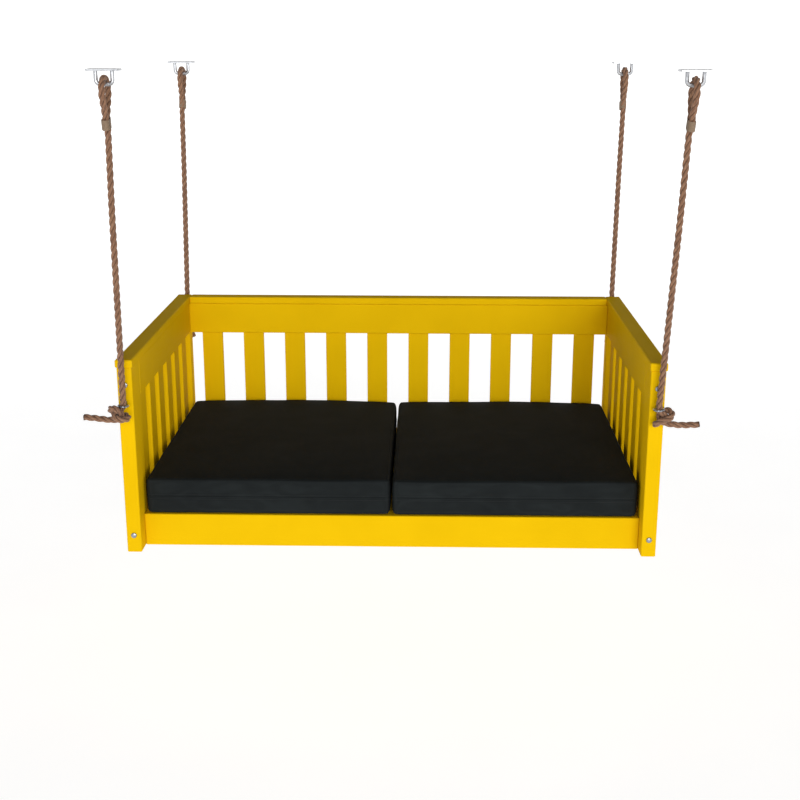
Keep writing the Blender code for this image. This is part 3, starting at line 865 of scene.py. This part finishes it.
def settle_cover(piece, low, high, seed):
    """Crowns the back edge and makes the cover a little uneven, as a used one is."""
    height = high.z - low.z
    for vert in piece.data.vertices:
        spot = vert.co
        level = min(1.0, max(0.0, (spot.z - low.z) / height))
        back = min(1.0, max(0.0, (spot.y - low.y) / (high.y - low.y)))
        across = (spot.x - low.x) / (high.x - low.x)
        rise = REAR_CROWN * back * back * 4 * across * (1 - across)
        uneven = noise.noise(Vector((spot.x * 5.0 + seed, spot.y * 5.0, spot.z * 9.0)))
        spot.z += level * (rise + UNEVEN * uneven)
        if side_gap(spot, low, high) < RIPPLE_WIDTH:
            ripple = noise.noise(Vector((spot.x * 14.0, spot.y * 14.0, spot.z * 20.0 + seed)))
            middle = Vector(((low.x + high.x) / 2, (low.y + high.y) / 2, spot.z))
            spot += (spot - middle).normalized() * 0.5 * UNEVEN * ripple
    piece.data.update()


def seam_line(tree, low, high, height, tilt, proud):
    """A closed line round the cushion, laid on its cover by rays from outside, tilted by an angle.

    It gives the line's points, which stand proud of the cover, and the cover's normals there.
    """
    points, normals = [], []
    outline = rounded_outline(low, high, CORNER_RADIUS, 6)
    for (spot, out), (after, next_out) in zip(outline, outline[1:] + outline[:1]):
        steps = max(1, round((after - spot).length / SEAM_STEP))
        for step in range(steps):
            share = step / steps
            direction = out.lerp(next_out, share).normalized()
            base = spot.lerp(after, share)
            ray = (direction * math.cos(tilt) + Vector((0.0, 0.0, math.sin(tilt)))).normalized()
            target = Vector((base.x, base.y, height)) - direction * CORNER_RADIUS
            hit, normal, _, _ = tree.ray_cast(target + ray * RAY_START, -ray)
            if hit is None:
                continue
            points.append(hit + normal * proud)
            normals.append(normal)
    return points, normals


def make_welt(name, points, material):
    """The rolled edge of a seam: a closed cord of cloth that lies along it."""
    line = smooth_line(np.array(points + [points[0]]), 2)
    return sweep(name, line, WELT / 2, 7, material)


def stitch_rings(ends, up):
    """The points of one stitch: three rings, the middle one lifted off the cover."""
    along = unit(ends[2] - ends[0])
    beside = unit(np.cross(up, along))
    verts = []
    for end, lift in zip(ends, STITCH_LIFTS):
        for side in range(THREAD_SIDES):
            angle = 2 * math.pi * side / THREAD_SIDES
            out = beside * math.cos(angle) + up * (math.sin(angle) + lift)
            verts.append(end + out * THREAD / 2)
    return verts


def make_stitches(name, lines, material):
    """Stitches along closed lines of (points, normals), as one mesh."""
    verts, faces = [], []
    stitch_faces = tube_faces(len(STITCH_SHARES), THREAD_SIDES)
    for points, normals in lines:
        line = np.array(points + [points[0]])
        spans = np.linalg.norm(np.diff(line, axis=0), axis=1)
        reach = np.concatenate([[0.0], np.cumsum(spans)])
        ups = np.array(normals + [normals[0]])

        def read(rows, mark):
            return np.array([np.interp(mark, reach, rows[:, axis]) for axis in range(3)])

        for mark in np.arange(0.0, reach[-1] - STITCH_PITCH, STITCH_PITCH):
            ends = [read(line, mark + STITCH_PITCH * share) for share in STITCH_SHARES]
            base = len(verts)
            verts += stitch_rings(ends, read(ups, mark))
            faces += [tuple(base + corner for corner in face) for face in stitch_faces]
    return new_piece(name, verts, faces, material)


def make_cover(side, low, high, canvas):
    """The cushion's cover: a block, remeshed and blown up from inside."""
    cover = make_block(f"cushion_{side}_cover", low, high, CORNER_RADIUS, canvas)
    remesh = cover.modifiers.new("remesh", "REMESH")
    remesh.mode = "VOXEL"
    remesh.voxel_size = CUSHION_VOXEL
    apply_modifiers(cover)
    swell(cover, sewn_edges(cover, low, high))
    cover.modifiers.new("smooth", "SUBSURF").levels = 1
    apply_modifiers(cover)
    settle_cover(cover, low, high, UNEVEN_SEEDS[side])
    cover.data.shade_smooth()
    return cover


def make_cushion(side, canvas, thread):
    """One seat cushion: its cover, with the welts and stitches of its seams."""
    low, high = (Vector(corner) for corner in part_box(f"cushion_{side}"))
    inset = Vector((CUSHION_SHRINK, CUSHION_SHRINK, 0.0))
    low, high = low + inset, high - inset
    cushion = make_cover(side, low, high, canvas)
    tree = BVHTree.FromObject(cushion, bpy.context.evaluated_depsgraph_get())
    middle = (low.z + high.z) / 2
    seam, _ = seam_line(tree, low, high, middle, 0.0, -0.0002)
    rim, _ = seam_line(tree, low, high, high.z - RIM_DROP, RIM_TILT, -0.0004)
    rows = [seam_line(tree, low, high, middle + gap, 0.0, 0.0001) for gap in (ROW_GAP, -ROW_GAP)]
    details = [
        make_welt(f"cushion_{side}_middle_welt", seam, canvas),
        make_welt(f"cushion_{side}_top_welt", rim, canvas),
        make_stitches(f"cushion_{side}_stitches", rows, thread),
    ]
    for piece in (cushion, *details):
        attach(piece, f"cushion_{side}")
    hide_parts(f"cushion_{side}")


def make_cushions():
    """Both cushions."""
    canvas = make_canvas()
    thread = make_black_thread()
    for side in ("left", "right"):
        make_cushion(side, canvas, thread)


# ---------------------------------------------------------------- carried-over CAD nodes


def finish_cad_nodes():
    """Gives every CAD node that still shows its material; paint's grain follows the longest side."""
    paints = [make_paint(axis) for axis in range(3)]
    ply = make_plywood()
    zinc = make_steel("zinc_plate", ZINC, 0.20, 0.38, 420.0)
    galvanised = make_steel("galvanised", GALVANISED, 0.30, 0.52, 120.0)
    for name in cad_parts:
        if name.startswith(("rope_", "cushion_")):
            continue
        if name.startswith("deck_"):
            material = ply
        elif name.startswith(("frame_bolt", "eye_screw")):
            material = zinc
        elif name.startswith("ceiling_hanger"):
            material = galvanised
        else:
            low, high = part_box(name)
            spans = [high[axis] - low[axis] for axis in range(3)]
            material = paints[spans.index(max(spans))]
        for slot in bpy.data.objects[name].material_slots:
            slot.material = material


# ---------------------------------------------------------------- studio


def make_stage():
    """A pale floor that curves up into a backdrop."""
    floor = cad_box[0][2] - FLOOR_DROP
    profile = [(FLOOR_FRONT, floor)]
    for angle in np.linspace(0.0, math.pi / 2, 17):
        depth = FLOOR_BACK + COVE_RADIUS * math.sin(angle)
        profile.append((depth, floor + COVE_RADIUS - COVE_RADIUS * math.cos(angle)))
    profile.append((FLOOR_BACK + COVE_RADIUS, BACKDROP_TOP))
    verts = [(x, y, z) for y, z in profile for x in (-FLOOR_HALF, FLOOR_HALF)]
    faces = [(2 * i, 2 * i + 1, 2 * i + 3, 2 * i + 2) for i in range(len(profile) - 1)]
    new_piece("studio_floor", verts, faces, make_floor_material())


def make_lights():
    """A broad frontal key in a room that is white at the horizon and dim overhead."""
    key = bpy.data.lights.new("key", "SUN")
    key.energy = KEY_STRENGTH
    key.angle = KEY_SPREAD
    lamp = bpy.data.objects.new("key", key)
    lamp.rotation_mode = "QUATERNION"
    lamp.rotation_quaternion = Vector(KEY_DIRECTION).to_track_quat("-Z", "Y")
    bpy.context.scene.collection.objects.link(lamp)
    world = bpy.data.worlds.new("studio")
    world.use_nodes = True
    direction = add_node(world, "TexCoord")
    parts = add_node(world, "SeparateXYZ")
    wire(world, direction, "Generated", parts, "Vector")
    fall = add_range(world, parts, "Z", HORIZON_LIGHT, ZENITH_LIGHT, start=0.05, end=0.55)
    fall.interpolation_type = "SMOOTHSTEP"
    background = world.node_tree.nodes["Background"]
    background.inputs["Color"].default_value = (1.0, 1.0, 1.0, 1.0)
    wire(world, fall, "Result", background, "Strength")
    bpy.context.scene.world = world
    bpy.context.scene.view_settings.view_transform = "Standard"


def make_camera():
    """The camera, aimed by yaw, pitch and roll."""
    flat = math.cos(CAMERA_PITCH)
    forward = Vector((math.sin(CAMERA_YAW) * flat, math.cos(CAMERA_YAW) * flat, -math.sin(CAMERA_PITCH)))
    level = Vector((math.cos(CAMERA_YAW), -math.sin(CAMERA_YAW), 0.0))
    above = level.cross(forward)
    right = math.cos(CAMERA_ROLL) * level + math.sin(CAMERA_ROLL) * above
    up = -math.sin(CAMERA_ROLL) * level + math.cos(CAMERA_ROLL) * above
    data = bpy.data.cameras.new("camera")
    data.lens = CAMERA_LENS
    data.sensor_width = SENSOR_WIDTH
    camera = bpy.data.objects.new("camera", data)
    turn = Matrix((right, up, -forward)).transposed()
    camera.matrix_world = Matrix.Translation(CAMERA_PLACE) @ turn.to_4x4()
    bpy.context.scene.collection.objects.link(camera)
    bpy.context.scene.camera = camera


make_camera()
make_ropes()
finish_cad_nodes()
make_cushions()
make_stage()
make_lights()
